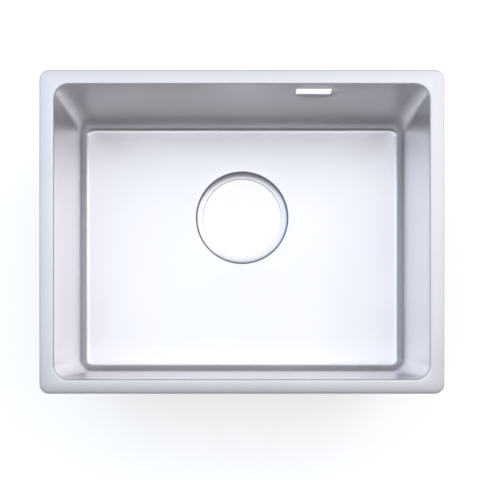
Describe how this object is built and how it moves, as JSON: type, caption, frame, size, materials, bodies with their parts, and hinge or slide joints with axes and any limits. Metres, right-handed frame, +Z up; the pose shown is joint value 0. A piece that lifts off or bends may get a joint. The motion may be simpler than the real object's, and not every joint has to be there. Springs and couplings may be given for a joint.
{
  "type": "kitchen sink",
  "caption": "Single-bowl stainless kitchen sink for a worktop cut-out, with round waste hole, overflow slot, rim seal, sound pads, clip rails and screw clamps.",
  "frame": {"origin": "middle of the rim's outline, at the foot of the waste neck", "axes": "+X right along the long side, +Y to the rear wall with the overflow slot, +Z up out of the bowl"},
  "size_m": [0.5, 0.4, 0.212],
  "materials": {
    "sink_steel": "satin",
    "rail_steel": "galvanised",
    "clamp_zinc": "zinc plated",
    "screw_zinc": "zinc plated",
    "seal_foam": "closed-cell foam",
    "pad_rubber": "matt"
  },
  "bodies": {
    "sink": {"bowl": "sink_steel", "rim_seal": "seal_foam", "floor_pad": "pad_rubber", "front_pad": "pad_rubber", "rear_pad": "pad_rubber", "left_pad": "pad_rubber", "right_pad": "pad_rubber", "front_rail": "rail_steel", "rear_rail": "rail_steel", "left_rail": "rail_steel", "right_rail": "rail_steel"},
    "front_left_hanger": {"front_left_hanger": "clamp_zinc"},
    "front_left_washer": {"front_left_washer": "screw_zinc"},
    "front_left_screw": {"front_left_screw": "screw_zinc"},
    "front_left_claw": {"front_left_claw": "clamp_zinc"},
    "front_right_hanger": {"front_right_hanger": "clamp_zinc"},
    "front_right_washer": {"front_right_washer": "screw_zinc"},
    "front_right_screw": {"front_right_screw": "screw_zinc"},
    "front_right_claw": {"front_right_claw": "clamp_zinc"},
    "rear_left_hanger": {"rear_left_hanger": "clamp_zinc"},
    "rear_left_washer": {"rear_left_washer": "screw_zinc"},
    "rear_left_screw": {"rear_left_screw": "screw_zinc"},
    "rear_left_claw": {"rear_left_claw": "clamp_zinc"},
    "rear_right_hanger": {"rear_right_hanger": "clamp_zinc"},
    "rear_right_washer": {"rear_right_washer": "screw_zinc"},
    "rear_right_screw": {"rear_right_screw": "screw_zinc"},
    "rear_right_claw": {"rear_right_claw": "clamp_zinc"},
    "left_hanger": {"left_hanger": "clamp_zinc"},
    "left_washer": {"left_washer": "screw_zinc"},
    "left_screw": {"left_screw": "screw_zinc"},
    "left_claw": {"left_claw": "clamp_zinc"},
    "right_hanger": {"right_hanger": "clamp_zinc"},
    "right_washer": {"right_washer": "screw_zinc"},
    "right_screw": {"right_screw": "screw_zinc"},
    "right_claw": {"right_claw": "clamp_zinc"}
  },
  "joints": [
    {"name": "front_left_hanger_slide", "type": "slide", "parent": "sink", "child": "front_left_hanger", "axis": [1, 0, 0], "range_m": [-0.027, 0.145]},
    {"name": "front_left_lift", "type": "slide", "parent": "front_left_hanger", "child": "front_left_washer", "axis": [0, 0, 1], "range_m": [0, 0.02]},
    {"name": "front_left_screw_turn", "type": "hinge", "parent": "front_left_washer", "child": "front_left_screw", "pos_m": [-0.165, -0.188, 0.162], "axis": [0, 0, 1], "range_deg": [0, 9000]},
    {"name": "front_left_claw_swing", "type": "hinge", "parent": "front_left_washer", "child": "front_left_claw", "pos_m": [-0.165, -0.188, 0.1465], "axis": [0, 0, 1], "range_deg": [-90, 90]},
    {"name": "front_right_hanger_slide", "type": "slide", "parent": "sink", "child": "front_right_hanger", "axis": [1, 0, 0], "range_m": [-0.145, 0.027]},
    {"name": "front_right_lift", "type": "slide", "parent": "front_right_hanger", "child": "front_right_washer", "axis": [0, 0, 1], "range_m": [0, 0.02]},
    {"name": "front_right_screw_turn", "type": "hinge", "parent": "front_right_washer", "child": "front_right_screw", "pos_m": [0.165, -0.188, 0.162], "axis": [0, 0, 1], "range_deg": [0, 9000]},
    {"name": "front_right_claw_swing", "type": "hinge", "parent": "front_right_washer", "child": "front_right_claw", "pos_m": [0.165, -0.188, 0.1465], "axis": [0, 0, 1], "range_deg": [-90, 90]},
    {"name": "rear_left_hanger_slide", "type": "slide", "parent": "sink", "child": "rear_left_hanger", "axis": [1, 0, 0], "range_m": [-0.027, 0.145]},
    {"name": "rear_left_lift", "type": "slide", "parent": "rear_left_hanger", "child": "rear_left_washer", "axis": [0, 0, 1], "range_m": [0, 0.02]},
    {"name": "rear_left_screw_turn", "type": "hinge", "parent": "rear_left_washer", "child": "rear_left_screw", "pos_m": [-0.165, 0.188, 0.162], "axis": [0, 0, 1], "range_deg": [0, 9000]},
    {"name": "rear_left_claw_swing", "type": "hinge", "parent": "rear_left_washer", "child": "rear_left_claw", "pos_m": [-0.165, 0.188, 0.1465], "axis": [0, 0, 1], "range_deg": [-90, 90]},
    {"name": "rear_right_hanger_slide", "type": "slide", "parent": "sink", "child": "rear_right_hanger", "axis": [1, 0, 0], "range_m": [-0.145, 0.027]},
    {"name": "rear_right_lift", "type": "slide", "parent": "rear_right_hanger", "child": "rear_right_washer", "axis": [0, 0, 1], "range_m": [0, 0.02]},
    {"name": "rear_right_screw_turn", "type": "hinge", "parent": "rear_right_washer", "child": "rear_right_screw", "pos_m": [0.165, 0.188, 0.162], "axis": [0, 0, 1], "range_deg": [0, 9000]},
    {"name": "rear_right_claw_swing", "type": "hinge", "parent": "rear_right_washer", "child": "rear_right_claw", "pos_m": [0.165, 0.188, 0.1465], "axis": [0, 0, 1], "range_deg": [-90, 90]},
    {"name": "left_hanger_slide", "type": "slide", "parent": "sink", "child": "left_hanger", "axis": [0, 1, 0], "range_m": [-0.142, 0.142]},
    {"name": "left_lift", "type": "slide", "parent": "left_hanger", "child": "left_washer", "axis": [0, 0, 1], "range_m": [0, 0.02]},
    {"name": "left_screw_turn", "type": "hinge", "parent": "left_washer", "child": "left_screw", "pos_m": [-0.238, 0, 0.162], "axis": [0, 0, 1], "range_deg": [0, 9000]},
    {"name": "left_claw_swing", "type": "hinge", "parent": "left_washer", "child": "left_claw", "pos_m": [-0.238, 0, 0.1465], "axis": [0, 0, 1], "range_deg": [-90, 90]},
    {"name": "right_hanger_slide", "type": "slide", "parent": "sink", "child": "right_hanger", "axis": [0, 1, 0], "range_m": [-0.142, 0.142]},
    {"name": "right_lift", "type": "slide", "parent": "right_hanger", "child": "right_washer", "axis": [0, 0, 1], "range_m": [0, 0.02]},
    {"name": "right_screw_turn", "type": "hinge", "parent": "right_washer", "child": "right_screw", "pos_m": [0.238, 0, 0.162], "axis": [0, 0, 1], "range_deg": [0, 9000]},
    {"name": "right_claw_swing", "type": "hinge", "parent": "right_washer", "child": "right_claw", "pos_m": [0.238, 0, 0.1465], "axis": [0, 0, 1], "range_deg": [-90, 90]}
  ],
  "couplings": [
    {"joint": "front_left_screw_turn", "follows": "front_left_lift", "rad_per_m": 7854},
    {"joint": "front_right_screw_turn", "follows": "front_right_lift", "rad_per_m": 7854},
    {"joint": "rear_left_screw_turn", "follows": "rear_left_lift", "rad_per_m": 7854},
    {"joint": "rear_right_screw_turn", "follows": "rear_right_lift", "rad_per_m": 7854},
    {"joint": "left_screw_turn", "follows": "left_lift", "rad_per_m": 7854},
    {"joint": "right_screw_turn", "follows": "right_lift", "rad_per_m": 7854}
  ]
}
